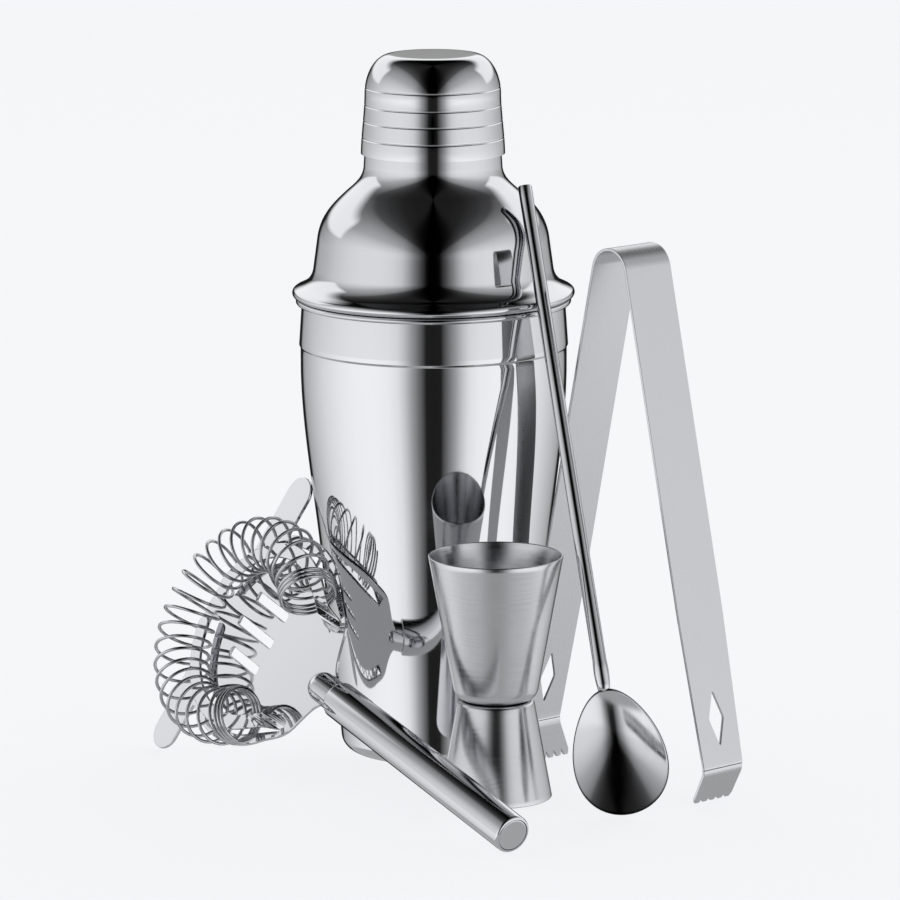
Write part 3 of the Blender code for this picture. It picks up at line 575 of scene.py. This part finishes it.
def coilTree():
    # A wire wound on a path of an arc with straight ends: close turns, open turns, close turns.
    sizes = {key: "NodeSocketFloat" for key in (
        "Coil Radius", "Ring Radius", "Wire Radius", "Arc Length", "End Run", "Closed Turns",
        "Open Turns", "Closed Step", "Turn Points", "Lift")}
    tree, given = newTree("woundSpring", {**sizes, "Points": "NodeSocketInt",
                                          "Wire Sides": "NodeSocketInt"})
    calc, size = mathIn(tree), given.outputs
    line = addNode(tree, "GeometryNodeCurvePrimitiveLine")
    points = addNode(tree, "GeometryNodeResampleCurve", None, {
        "Curve": line.outputs[0], "Count": size["Points"]})
    index = addNode(tree, "GeometryNodeInputIndex").outputs[0]
    turn = calc("DIVIDE", index, size["Turn Points"])
    closed = calc("MULTIPLY", size["Closed Turns"], size["Closed Step"])
    openSpan = calc("MULTIPLY", calc("SUBTRACT", size["End Run"], closed), 2.0)
    openStep = calc("DIVIDE", openSpan, size["Open Turns"])
    first = calc("MINIMUM", turn, size["Closed Turns"])
    afterFirst = calc("MAXIMUM", calc("SUBTRACT", turn, size["Closed Turns"]), 0.0)
    openPart = calc("MINIMUM", afterFirst, size["Open Turns"])
    last = calc("MAXIMUM", calc("SUBTRACT", afterFirst, size["Open Turns"]), 0.0)
    run = calc("ADD", calc("MULTIPLY", calc("ADD", first, last), size["Closed Step"]),
               calc("MULTIPLY", openPart, openStep))
    run = calc("SUBTRACT", run, size["End Run"])
    length, side = calc("ABSOLUTE", run), calc("SIGN", run)
    bend = calc("DIVIDE", calc("MINIMUM", length, size["Arc Length"]), size["Ring Radius"])
    over = calc("MAXIMUM", calc("SUBTRACT", length, size["Arc Length"]), 0.0)
    spin = calc("MULTIPLY", turn, math.tau)
    reach = calc("ADD", size["Ring Radius"], calc("MULTIPLY", calc("COSINE", spin),
                                                  size["Coil Radius"]))
    sine, cosine = calc("SINE", bend), calc("COSINE", bend)
    x = calc("SUBTRACT", calc("MULTIPLY", over, sine), calc("MULTIPLY", reach, cosine))
    y = calc("ADD", calc("MULTIPLY", over, cosine), calc("MULTIPLY", reach, sine))
    z = calc("ADD", size["Lift"], calc("MULTIPLY", calc("SINE", spin), size["Coil Radius"]))
    spot = addNode(tree, "ShaderNodeCombineXYZ", None, {
        "X": x, "Y": calc("MULTIPLY", y, side), "Z": z})
    wound = addNode(tree, "GeometryNodeSetPosition", None, {
        "Geometry": points.outputs[0], "Position": spot.outputs[0]})
    section = addNode(tree, "GeometryNodeCurvePrimitiveCircle", None, {
        "Resolution": size["Wire Sides"], "Radius": size["Wire Radius"]})
    wire = addNode(tree, "GeometryNodeCurveToMesh", None, {
        "Curve": wound.outputs[0], "Profile Curve": section.outputs[0], "Fill Caps": True})
    endTree(tree, wire.outputs[0], "wireSteel")
    return tree


def makeSpring():
    total = spring["openTurns"] + 2 * spring["closedTurns"]
    lift = plate["thickness"] / 2 + fit + spring["wire"] / 2 + spring["coilR"]
    wire = bakedMesh("coilSpring", bpy.data.meshes.new("coilSpring"), coilTree(), {
        "Coil Radius": spring["coilR"] * mm, "Ring Radius": spring["ringR"] * mm,
        "Wire Radius": spring["wire"] / 2 * mm, "Arc Length": arcLength * mm,
        "End Run": coilEnd * mm, "Closed Turns": float(spring["closedTurns"]),
        "Open Turns": float(spring["openTurns"]), "Closed Step": spring["closedStep"] * mm,
        "Turn Points": float(spring["pointsPerTurn"]), "Lift": lift * mm,
        "Points": total * spring["pointsPerTurn"] + 1, "Wire Sides": spring["wireSides"]})
    piece = newPiece("coilSpring", wire, "wireSteel", platePlace, 40)
    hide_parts("hawthorne_spring")
    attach(piece, "coil")


def makeHandle(h):
    along = Matrix.Rotation(math.radians(90 + h["dip"]), 4, "Y")
    axis = platePlace @ Matrix.Translation((0, 0, h["rodUp"] * mm)) @ along
    rodEnd = h["tubeStart"] + h["rodInTube"]
    dome = arcPoints((0, h["rodStart"] + h["rodR"]), h["rodR"], 0, -90, 20)
    rod = [(0, rodEnd), (h["rodR"], rodEnd)] + dome[:-1] + [(0, h["rodStart"])]
    bore, edge, lip = h["rodR"] + h["boreGap"], h["tubeEdge"], h["tubeLip"]
    tube = [(bore, h["tubeEnd"] - lip)]
    tube += arcPoints((h["tubeR"] - edge, h["tubeEnd"] - edge), edge, 90, 0, 10)
    tube += arcPoints((h["tubeR"] - edge, h["tubeStart"] + edge), edge, 0, -90, 10)
    tube += [(bore, h["tubeStart"] + lip)]
    plugR, plugEdge = bore - h["boreGap"], h["plugEdge"]
    plug = [(0, h["tubeEnd"])]
    plug += arcPoints((plugR - plugEdge, h["tubeEnd"] - plugEdge), plugEdge, 90, 0, 6)
    plug += [(plugR, h["tubeEnd"] - h["plugH"]), (0, h["tubeEnd"] - h["plugH"])]
    pieces = [
        newPiece("weldedRod", turnedMesh("weldedRod", rod, 64), "mirrorSteel", axis),
        newPiece("handleTube", ringMesh("handleTube", tube, 64), "mirrorSteel", axis),
        newPiece("handlePlug", turnedMesh("handlePlug", plug, 64), "mirrorSteel", axis)]
    nodes = ("hawthorne_rod", "hawthorne_handle", "hawthorne_plug")
    for piece, node in zip(pieces, nodes):
        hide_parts(node)
        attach(piece, "strainer")


def ringMesh(name, loop, steps):
    # a turned ring: the loop closes on itself away from the axis
    work = bmesh.new()
    rings = []
    for i in range(steps):
        angle = math.tau * i / steps
        rings.append([work.verts.new((r * mm * math.cos(angle), r * mm * math.sin(angle), z * mm))
                      for r, z in loop])
    for i, ring in enumerate(rings):
        following = rings[(i + 1) % steps]
        for j in range(len(loop)):
            k = (j + 1) % len(loop)
            work.faces.new((ring[j], ring[k], following[k], following[j]))
    bmesh.ops.recalc_face_normals(work, faces=work.faces)
    mesh = bpy.data.meshes.new(name)
    work.to_mesh(mesh)
    work.free()
    return mesh


makePlate()
makeSpring()
makeHandle(handle)
print("spring strainer made")

# The jigger: two cups spun from sheet and joined foot to foot

jigger = {
    "gap": 1.85, "round": -73.55, "sheet": 0.7, "rim": 0.3, "seam": 0.05,
    "largeR": 21.5, "largeFootR": 12.6, "largeH": 47.0, "largeCorner": 4.5, "cornerOut": 1.1,
    "smallR": 17.85, "smallTopR": 12.4, "smallH": 31.6, "smallCorner": 1.2, "smallLean": 10,
}


def makeJigger(j):
    out = strainerTop["flangeR"] + j["gap"] + j["largeR"]
    place = Matrix.Translation(roundAxis(j["round"], out) * mm)
    low, sheet = j["smallH"] + j["seam"], j["sheet"]
    rise = math.degrees(math.atan2(j["largeR"] - j["largeFootR"], j["largeH"]))
    wall = [(j["largeR"], low + j["largeH"] - j["rim"])]
    wall += arcPoints((j["largeFootR"] - j["largeCorner"] + j["cornerOut"],
                       low + j["largeCorner"]), j["largeCorner"], -rise, -90, 16)
    inner = offsetPath(wall, sheet)[::-1]
    rimMiddle = ((wall[0][0] + inner[-1][0]) / 2, wall[0][1])
    rim = arcPoints(rimMiddle, sheet / 2, 180, 0, 9)[1:-1]
    large = [(0, low + sheet)] + inner + rim + wall + [(0, low)]
    corner = arcPoints((j["smallTopR"] - j["smallCorner"], j["smallH"] - j["smallCorner"]),
                       j["smallCorner"], 90, j["smallLean"], 10)
    wall = corner + [(j["smallR"], j["rim"])]
    inner = offsetPath(wall, sheet)[::-1]
    rimMiddle = ((wall[-1][0] + inner[0][0]) / 2, j["rim"])
    rim = arcPoints(rimMiddle, sheet / 2, 0, -180, 9)[1:-1]
    small = [(0, j["smallH"])] + wall + rim + inner + [(0, j["smallH"] - sheet)]
    for name, profile, node in (("largeMeasure", large, "jigger_large_cup"),
                                ("smallMeasure", small, "jigger_small_cup")):
        piece = newPiece(name, turnedMesh(name, profile, 128), "latheSteel", place)
        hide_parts(node)
        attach(piece, "jigger")


makeJigger(jigger)
print("jigger made")

# The bar spoon: a turned rod whose flattened end is welded to the back of a pressed bowl

spoon = {
    "out": 52.1, "round": -56.88, "up": 38.6, "leanRound": -43.25,
    "rodR": 2.25, "rod": 166.5, "rodEdge": 0.5,
    "bowlWay": (0.215, -0.310, -0.926), "bowlFace": (-0.05, -0.943, 0.305),
    "bowlEgg": 0.22, "bowlL": 40.6, "bowlW": 29.4, "bowlDeep": 6.0, "bowlSheet": 1.0,
    "thinFrom": 0.955, "flatten": 9.0, "tongue": 9.0, "bulge": 0.54, "swell": 0.25,
    "tongueWide": 0.4, "tongueThick": 0.18, "spokes": 96, "rings": 28,
}
spoonNeck = roundAxis(spoon["round"], strainerTop["flangeR"] + spoon["out"], spoon["up"])
rodLeans = roundAxis(spoon["leanRound"], strainerTop["flangeR"] + spoon["rodR"] + fit,
                     topZ + strainerTop["flangeH"] / 2)
bowlPlace = facing(spoonNeck, -Vector(spoon["bowlWay"]), -Vector(spoon["bowlFace"]))


def bowlPoint(s, reach, angle, side):
    # a point of the bowl, in front of (-1) or behind (+1) its middle surface, thin at the rim
    along = -s["bowlL"] / 2 * (1 - math.cos(angle) * reach)
    wide = s["bowlW"] / 2 * (1 - s["bowlEgg"] * math.cos(angle))
    rimShare = max(0.0, (reach - s["thinFrom"]) / (1 - s["thinFrom"]))
    half = s["bowlSheet"] / 2 * math.sqrt(max(0.0, 1 - rimShare * rimShare))
    depth = s["bowlDeep"] * (1 - reach * reach) + side * half
    return (wide * math.sin(angle) * reach * mm, depth * mm, along * mm)


def bowlMesh(s):
    work = bmesh.new()
    reaches = [1 - (1 - i / s["rings"]) ** 1.6 for i in range(1, s["rings"] + 1)]
    spread = [math.tau * i / s["spokes"] for i in range(s["spokes"])]
    rim = [work.verts.new(bowlPoint(s, 1.0, a, 0)) for a in spread]
    for side in (-1, 1):
        middle = work.verts.new(bowlPoint(s, 0.0, 0.0, side))
        rings = [[work.verts.new(bowlPoint(s, reach, a, side)) for a in spread]
                 for reach in reaches[:-1]] + [rim]
        for i in range(s["spokes"]):
            k = (i + 1) % s["spokes"]
            work.faces.new((middle, rings[0][i], rings[0][k]))
            for inner, outer in zip(rings, rings[1:]):
                work.faces.new((inner[i], outer[i], outer[k], inner[k]))
    bmesh.ops.recalc_face_normals(work, faces=work.faces)
    mesh = bpy.data.meshes.new("spoonBowl")
    work.to_mesh(mesh)
    work.free()
    return mesh


def rodStations(s):
    # from the rod's top to the tongue: (middle, half width, half thickness) of each section
    up = (rodLeans - spoonNeck).normalized()
    way, face = Vector(s["bowlWay"]).normalized(), Vector(s["bowlFace"]).normalized()
    r, edge, flatten = s["rodR"], s["rodEdge"], s["flatten"]
    found = [(spoonNeck + up * s["rod"], r - edge, r - edge)]
    found += [(spoonNeck + up * (s["rod"] - edge * (1 - math.cos(a))),
               r - edge + edge * math.sin(a), r - edge + edge * math.sin(a))
              for a in (0.5, 1.0, math.pi / 2)]
    count = 40
    for i in range(1, count):
        height = s["rod"] + (flatten - s["rod"]) * i / (count - 1)
        found.append((spoonNeck + up * height, r, r))
    for i in range(1, 25):
        t = i / 24
        ahead = (flatten + s["tongue"]) * t - flatten  # runs from the rod into the bowl
        ease = t * t * (3 - 2 * t)
        if ahead < 0:
            middle = spoonNeck - up * ahead
        else:
            reach = 1 - ahead / (s["bowlL"] / 2)
            depth = s["bowlDeep"] * (1 - reach * reach) + s["bowlSheet"] / 2
            middle = spoonNeck + way * ahead - face * depth
        lift = -face * s["bulge"] * math.sin(math.pi * max(0, t - 0.1) / 0.9)
        wide = r * (1 + s["swell"] * math.sin(math.pi * t)) * (1 - (1 - s["tongueWide"]) * ease)
        found.append((middle + lift, wide, r * (1 - (1 - s["tongueThick"]) * ease)))
    return found


def rodMesh(s):
    work = bmesh.new()
    face = Vector(s["bowlFace"]).normalized()
    stations, sides, rings = rodStations(s), 32, []
    for i, (middle, wide, thick) in enumerate(stations):
        ahead = stations[min(i + 1, len(stations) - 1)][0] - stations[max(i - 1, 0)][0]
        across = ahead.cross(face).normalized()
        out = across.cross(ahead).normalized()
        turns = [math.tau * k / sides for k in range(sides)]
        rings.append([work.verts.new((middle + across * wide * math.cos(a)
                                      + out * thick * math.sin(a)) * mm) for a in turns])
    for first, second in zip(rings, rings[1:]):
        for k in range(sides):
            n = (k + 1) % sides
            work.faces.new((first[k], first[n], second[n], second[k]))
    work.faces.new(rings[0])
    work.faces.new(rings[-1])
    bmesh.ops.recalc_face_normals(work, faces=work.faces)
    mesh = bpy.data.meshes.new("spoonRod")
    work.to_mesh(mesh)
    work.free()
    return mesh


def makeSpoon():
    pieces = (newPiece("spoonRod", rodMesh(spoon), "barSteel"),
              newPiece("spoonBowl", bowlMesh(spoon), "barSteel", bowlPlace, 50))
    for piece, node in zip(pieces, ("spoon_rod", "spoon_bowl")):
        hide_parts(node)
        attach(piece, "spoon")


makeSpoon()
print("spoon made")

# The tongs: one strip of spring steel bent over a bow, X across the spread and Y across the strip

tongs = {
    "out": 33.75, "round": -35.21, "turn": -48.2,
    "thickness": 1.0, "edge": 0.22, "width": 19.6, "tipWidth": 16.6, "waistZ": 62.0,
    "bowR": 7.6, "bowTopZ": 174.2, "flexFrom": 3.0, "flexTo": 9.0,
    "bendX": 43.05, "bendZ": 10.8, "bendR": 5.0, "bendPull": 0.45, "tipIn": 5.5,
    "teeth": 5, "toothH": 2.0, "toothGap": 0.3, "outerGap": 0.75,
    "diamondZ": 28.5, "diamondH": 18.0, "diamondW": 6.4, "diamondR": 0.5,
}
tongsPlace = (Matrix.Translation(roundAxis(tongs["round"],
                                           tumbler["shoulderR"] + tongs["out"]) * mm)
              @ Matrix.Rotation(math.radians(tongs["turn"]), 4, "Z"))
armDrop = tongs["bowTopZ"] - tongs["bowR"] - tongs["bendZ"]
armSlope = math.degrees(math.acos(tongs["bowR"] / math.hypot(tongs["bendX"], armDrop))
                        - math.atan2(armDrop, tongs["bendX"]))


def stripPath(t):
    # one half of the strip's middle line in (spread, height), from the top of the bow to the tip
    path = arcPoints((0, t["bowTopZ"] - t["bowR"]), t["bowR"], 90, armSlope, 30)
    bend, tip = Vector((t["bendX"], t["bendZ"])), Vector((t["bendX"] - t["tipIn"], 0))
    into = (bend - Vector(path[-1])).normalized()
    out = (tip - bend).normalized()
    cut = t["bendR"] * math.tan(into.angle(out) / 2)
    a, d, pull = bend - into * cut, bend + out * cut, cut * t["bendPull"]
    path += [tuple(a)] + bezierPoints(a, bend - into * pull, bend + out * pull, d, 14)
    return evenPath(path + [tuple(tip)], 2.0)


def stripBlank(t, length, name):
    # the strip before it is bent: X along it and Y across, with its teeth and its window
    waist = length - t["waistZ"]
    half, tip = t["width"] / 2, t["tipWidth"] / 2
    pitch = 2 * tip / t["teeth"]
    edge = [(0, -half), (waist, -half)]
    steps = 16
    for i in range(t["teeth"] * steps + 1):
        across = -tip + pitch * i / steps
        u = abs((i / steps) % 1 - 0.5) * 2  # 0 on a tooth's middle, 1 in the gap beside it
        gap = max(0.0, (u - 1 + 2 * t["toothGap"]) / (2 * t["toothGap"]))
        share = 1 if 0 < i < t["teeth"] * steps else t["outerGap"]
        edge.append((length - t["toothH"] * gap ** 1.5 * share, across))
    edge += [(waist, half), (0, half)]
    x, w, h = length - t["diamondZ"], t["diamondW"] / 2, t["diamondH"] / 2
    diamond = roundedCorners([(x + h, 0), (x, w), (x - h, 0), (x, -w)], t["diamondR"])
    return sheetMesh(name, edge, t["thickness"], t["edge"], [diamond])


def roundedCorners(corners, radius):
    found = []
    for i, corner in enumerate(corners):
        here = Vector(corner)
        before = (Vector(corners[i - 1]) - here).normalized()
        after = (Vector(corners[(i + 1) % len(corners)]) - here).normalized()
        found += bezierPoints(here + before * radius * 2, here + before * radius * 0.7,
                              here + after * radius * 0.7, here + after * radius * 2, 6, False)
    return found


def bentStrip(t, side, name):
    path = stripPath(t)
    lengths = [0.0]
    for a, b in zip(path, path[1:]):
        lengths.append(lengths[-1] + math.dist(a, b))
    mesh = stripBlank(t, lengths[-1], name)
    work = bmesh.new()
    work.from_mesh(mesh)
    for x in lengths[1:-1]:  # a cut across at each path point, so that the strip bends evenly
        bmesh.ops.bisect_plane(work, geom=work.verts[:] + work.edges[:] + work.faces[:],
                               plane_co=(x * mm, 0, 0), plane_no=(1, 0, 0), dist=1e-7)
    uv = work.loops.layers.uv.new("strip")
    for face in work.faces:
        for loop in face.loops:
            loop[uv].uv = (loop.vert.co.y, loop.vert.co.x)
    for vert in work.verts:
        vert.co = onStrip(path, lengths, vert.co / mm, side) * mm
    bmesh.ops.recalc_face_normals(work, faces=work.faces)
    work.to_mesh(mesh)
    work.free()
    return mesh


def onStrip(path, lengths, flat, side):
    # where a point of the flat blank goes on the bent path
    x = min(max(flat.x, 0.0), lengths[-1])
    i = max(k for k in range(len(lengths) - 1) if lengths[k] <= x + 1e-9)
    share = (x - lengths[i]) / (lengths[i + 1] - lengths[i])
    spot = Vector(path[i]).lerp(Vector(path[i + 1]), share)
    normal = stripNormal(path, i).lerp(stripNormal(path, i + 1), share).normalized()
    spot += normal * flat.z
    return Vector((side * spot.x, flat.y, spot.y))


def stripNormal(path, i):
    # across the bent path at one of its points, straight up at the top of the bow
    if i == 0:
        return Vector((0, 1))
    ahead = Vector(path[min(i + 1, len(path) - 1)]) - Vector(path[i - 1])
    across = Vector((-ahead.y, ahead.x)).normalized()
    return -across if ahead.x < 0 else across


def makeTongs():
    for name, side, arm in (("rightTong", 1, "right_arm"), ("leftTong", -1, "left_arm")):
        half = newPiece(name, bentStrip(tongs, side, name), "satinSteel", tongsPlace, 14)
        nodes = ["tongs_" + arm] + (["tongs_bow"] if side > 0 else [])
        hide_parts(*nodes)
        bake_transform(half)


makeTongs()
print("tongs made")

# Floor, light and camera

# a light table: its own even glow leaves only a faint shadow under each piece
backdrop = {"board": "#8c8d8f", "glow": "#f3f4f6", "glowShare": 0.885}


def makeFloor():
    bpy.ops.mesh.primitive_plane_add(size=16)
    floor = bpy.context.object
    floor.name = "paleFloor"
    material = bpy.data.materials.new("opalAcrylic")  # opal sheet lit from below
    material.use_nodes = True
    tree = material.node_tree
    tree.nodes.clear()
    shader = addNode(tree, "ShaderNodeBsdfPrincipled", None, {
        "Base Color": toLinear(backdrop["board"]), "Roughness": 0.9,
        "Specular IOR Level": 0.1, "Emission Color": toLinear(backdrop["glow"]),
        "Emission Strength": backdrop["glowShare"]})
    addNode(tree, "ShaderNodeOutputMaterial", None, {"Surface": shader.outputs[0]})
    floor.data.materials.append(material)
    floor.visible_glossy = False  # the steel reflects only the studio and the other pieces


studio = {
    "strength": 1.4,
    # brightness against degrees round from the front: a dark gap, then a wide soft panel each side
    "aroundStops": ((0, 0.012), (6.5, 0.014), (9, 0.07), (13, 0.16), (19, 0.33), (25, 0.57),
                    (31, 0.77), (40, 0.87), (55, 0.91), (75, 0.89), (90, 0.83), (110, 0.7),
                    (130, 0.52), (150, 0.34), (154, 0.25), (158, 0.012), (180, 0.01)),
    # brightness against the rise of the view, in degrees on a panel's own face
    "upStops": ((-90, 1.0), (-8, 1.0), (-2, 0.82), (8, 0.78), (20, 0.62),
                (31, 0.43), (39, 0.36), (47, 0.27), (52, 0.18), (55, 0.085), (63, 0.042),
                (71, 0.02), (79, 0.014), (90, 0.012)),
    # the white wall behind: how far round it starts, and the heights that it spans
    "rearAround": (96, 112), "rearLow": (3, 13), "rearHigh": (32, 47), "rearLight": 0.82,
    # the grey table top, seen by faces that look down
    "tableRise": (-30, -26), "tableLight": 0.36,
    "fillPower": 9.0, "fillSize": 3.0, "fillHeight": 2.2,
}


def addRamp(tree, factor, stops, span, low):
    ramp = addNode(tree, "ShaderNodeValToRGB", None, {"Fac": factor})
    elements = ramp.color_ramp.elements
    while len(elements) < len(stops):
        elements.new(0.5)
    for element, (degrees, _) in zip(elements, stops):
        element.position = (degrees - low) / span
    for element, (_, value) in zip(elements, stops):
        element.color = (value, value, value * 1.004, 1)  # a trace cooler than white
    return ramp.outputs["Color"]


def makeStudio():
    # Two tall soft panels with a gap between them at the front, faded towards the ceiling,
    # a white wall behind and a grey table below.
    world = bpy.data.worlds.new("softStudio")
    bpy.context.scene.world = world
    world.use_nodes = True
    tree = world.node_tree
    tree.nodes.clear()
    way = addNode(tree, "ShaderNodeTexCoord").outputs["Generated"]
    axes = addNode(tree, "ShaderNodeSeparateXYZ", None, {0: way}).outputs
    calc = mathIn(tree)

    def fade(value, low, high):
        # 0 below low degrees and 1 above high, eased between
        return addNode(tree, "ShaderNodeMapRange", {"interpolation_type": "SMOOTHSTEP"}, {
            "Value": value, "From Min": math.radians(low), "From Max": math.radians(high)}
        ).outputs[0]

    side = calc("ABSOLUTE", axes["X"])
    turn = calc("ARCTAN2", side, calc("MULTIPLY", axes["Y"], -1.0))
    lean = calc("ARCTAN2", axes["Z"], calc("MAXIMUM", side, 0.02))
    rise = calc("ARCSINE", axes["Z"])
    aroundLight = addRamp(tree, calc("DIVIDE", turn, math.pi), studio["aroundStops"], 180, 0)
    upLight = addRamp(tree, calc("ADD", calc("DIVIDE", lean, math.pi), 0.5),
                      studio["upStops"], 180, -90)
    panels = addNode(tree, "ShaderNodeMix", {"data_type": "RGBA", "blend_type": "MULTIPLY"}, {
        0: 1.0, 6: aroundLight, 7: upLight}).outputs[2]
    rear = calc("MULTIPLY", fade(turn, *studio["rearAround"]), fade(rise, *studio["rearLow"]))
    rear = calc("MULTIPLY", rear, calc("SUBTRACT", 1.0, fade(rise, *studio["rearHigh"])))
    rear = calc("MULTIPLY", rear, studio["rearLight"])
    lit = addNode(tree, "ShaderNodeMix", {"data_type": "RGBA", "blend_type": "LIGHTEN"}, {
        0: 1.0, 6: panels, 7: rear}).outputs[2]
    table, shade = calc("SUBTRACT", 1.0, fade(rise, *studio["tableRise"])), studio["tableLight"]
    light = addNode(tree, "ShaderNodeMix", {"data_type": "RGBA"}, {
        0: table, 6: lit, 7: (shade, shade, shade, 1)})
    sky = addNode(tree, "ShaderNodeBackground", None, {
        "Color": light.outputs[2], "Strength": studio["strength"]})
    addNode(tree, "ShaderNodeOutputWorld", None, {"Surface": sky.outputs[0]})
    lamp = bpy.data.lights.new("overheadFill", "AREA")
    lamp.shape = "SQUARE"
    lamp.size = studio["fillSize"]
    lamp.energy = studio["fillPower"]
    fill = bpy.data.objects.new("overheadFill", lamp)
    fill.location = (0, 0, studio["fillHeight"])
    fill.visible_glossy = False  # whitens the floor and stays out of the reflections
    bpy.context.scene.collection.objects.link(fill)


view = {"lens": 224.16, "sensor": 36, "place": (5.25, -1810, 445), "down": 10.792, "roll": -0.17}


def makeCamera():
    data = bpy.data.cameras.new("frontView")
    data.lens = view["lens"]
    data.sensor_width = view["sensor"]
    camera = bpy.data.objects.new("frontView", data)
    place = Matrix.Translation(Vector(view["place"]) * mm)
    tilt = Matrix.Rotation(math.radians(90 - view["down"]), 4, "X")
    roll = Matrix.Rotation(math.radians(view["roll"]), 4, "Z")
    camera.matrix_world = place @ tilt @ roll
    bpy.context.scene.collection.objects.link(camera)
    bpy.context.scene.camera = camera


makeFloor()
makeStudio()
makeCamera()
bpy.context.scene.view_settings.view_transform = "Standard"
print("studio set")
